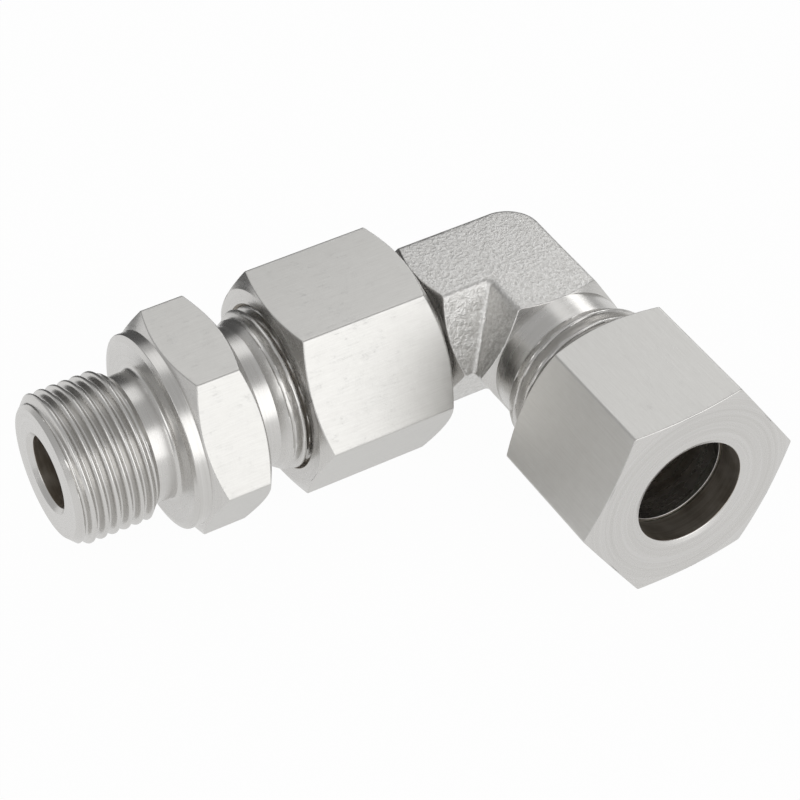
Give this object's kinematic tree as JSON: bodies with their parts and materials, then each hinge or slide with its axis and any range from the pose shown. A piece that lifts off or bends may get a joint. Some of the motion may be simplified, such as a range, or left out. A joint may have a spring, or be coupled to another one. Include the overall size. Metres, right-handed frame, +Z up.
{
  "type": "adjustable male elbow",
  "caption": "Stainless elbow tube fitting: a male stud with parallel pipe thread, hexagon and union nut, joined to a forged bend that can be turned, with a union nut for a tube at the other end",
  "frame": {"origin": "the middle of the sealing face at the stud's port thread, on the thread's axis", "axes": "+X runs along the stud from its port thread to the bend, -X goes into the port; the open arm of the elbow points along -Y; +Z is up, square to both arms"},
  "size_m": [0.0678, 0.0489, 0.0228],
  "materials": {
    "turned_steel": "turned stainless steel with fine lathe lines",
    "nut_steel": "drawn stainless hexagon bar with fine scratches",
    "ring_steel": "turned stainless steel, satin",
    "forged_steel": "blasted forging with machined ends"
  },
  "bodies": {
    "stud": {"male_stud": "turned_steel"},
    "stub_ring": {"stub_cutting_ring": "ring_steel"},
    "stub_nut": {"stub_nut": "nut_steel"},
    "elbow": {"elbow_body": "forged_steel"},
    "tube_ring": {"tube_cutting_ring": "ring_steel"},
    "tube_nut": {"tube_nut": "nut_steel"}
  },
  "joints": [
    {"name": "stub_ring_travel", "type": "slide", "parent": "stud", "child": "stub_ring", "axis": [1, 0, 0], "range_m": [0, 0.0051]},
    {"name": "stub_nut_turn", "type": "hinge", "parent": "stub_ring", "child": "stub_nut", "pos_m": [0.02225, 0, 0], "axis": [1, 0, 0], "range_deg": [-2, 1228]},
    {"name": "elbow_swivel", "type": "hinge", "parent": "stub_ring", "child": "elbow", "pos_m": [0.04315, 0, 0], "axis": [1, 0, 0], "continuous": true},
    {"name": "tube_ring_travel", "type": "slide", "parent": "elbow", "child": "tube_ring", "axis": [0, -1, 0], "range_m": [-0.00112, 0.004]},
    {"name": "tube_nut_turn", "type": "hinge", "parent": "tube_ring", "child": "tube_nut", "pos_m": [0.04315, -0.028, 0], "axis": [0, -1, 0], "range_deg": [-273, 963]}
  ],
  "couplings": [
    {"joint": "stub_nut_turn", "follows": "stub_ring_travel", "rad_per_m": 4188.8},
    {"joint": "tube_nut_turn", "follows": "tube_ring_travel", "rad_per_m": 4188.8}
  ]
}
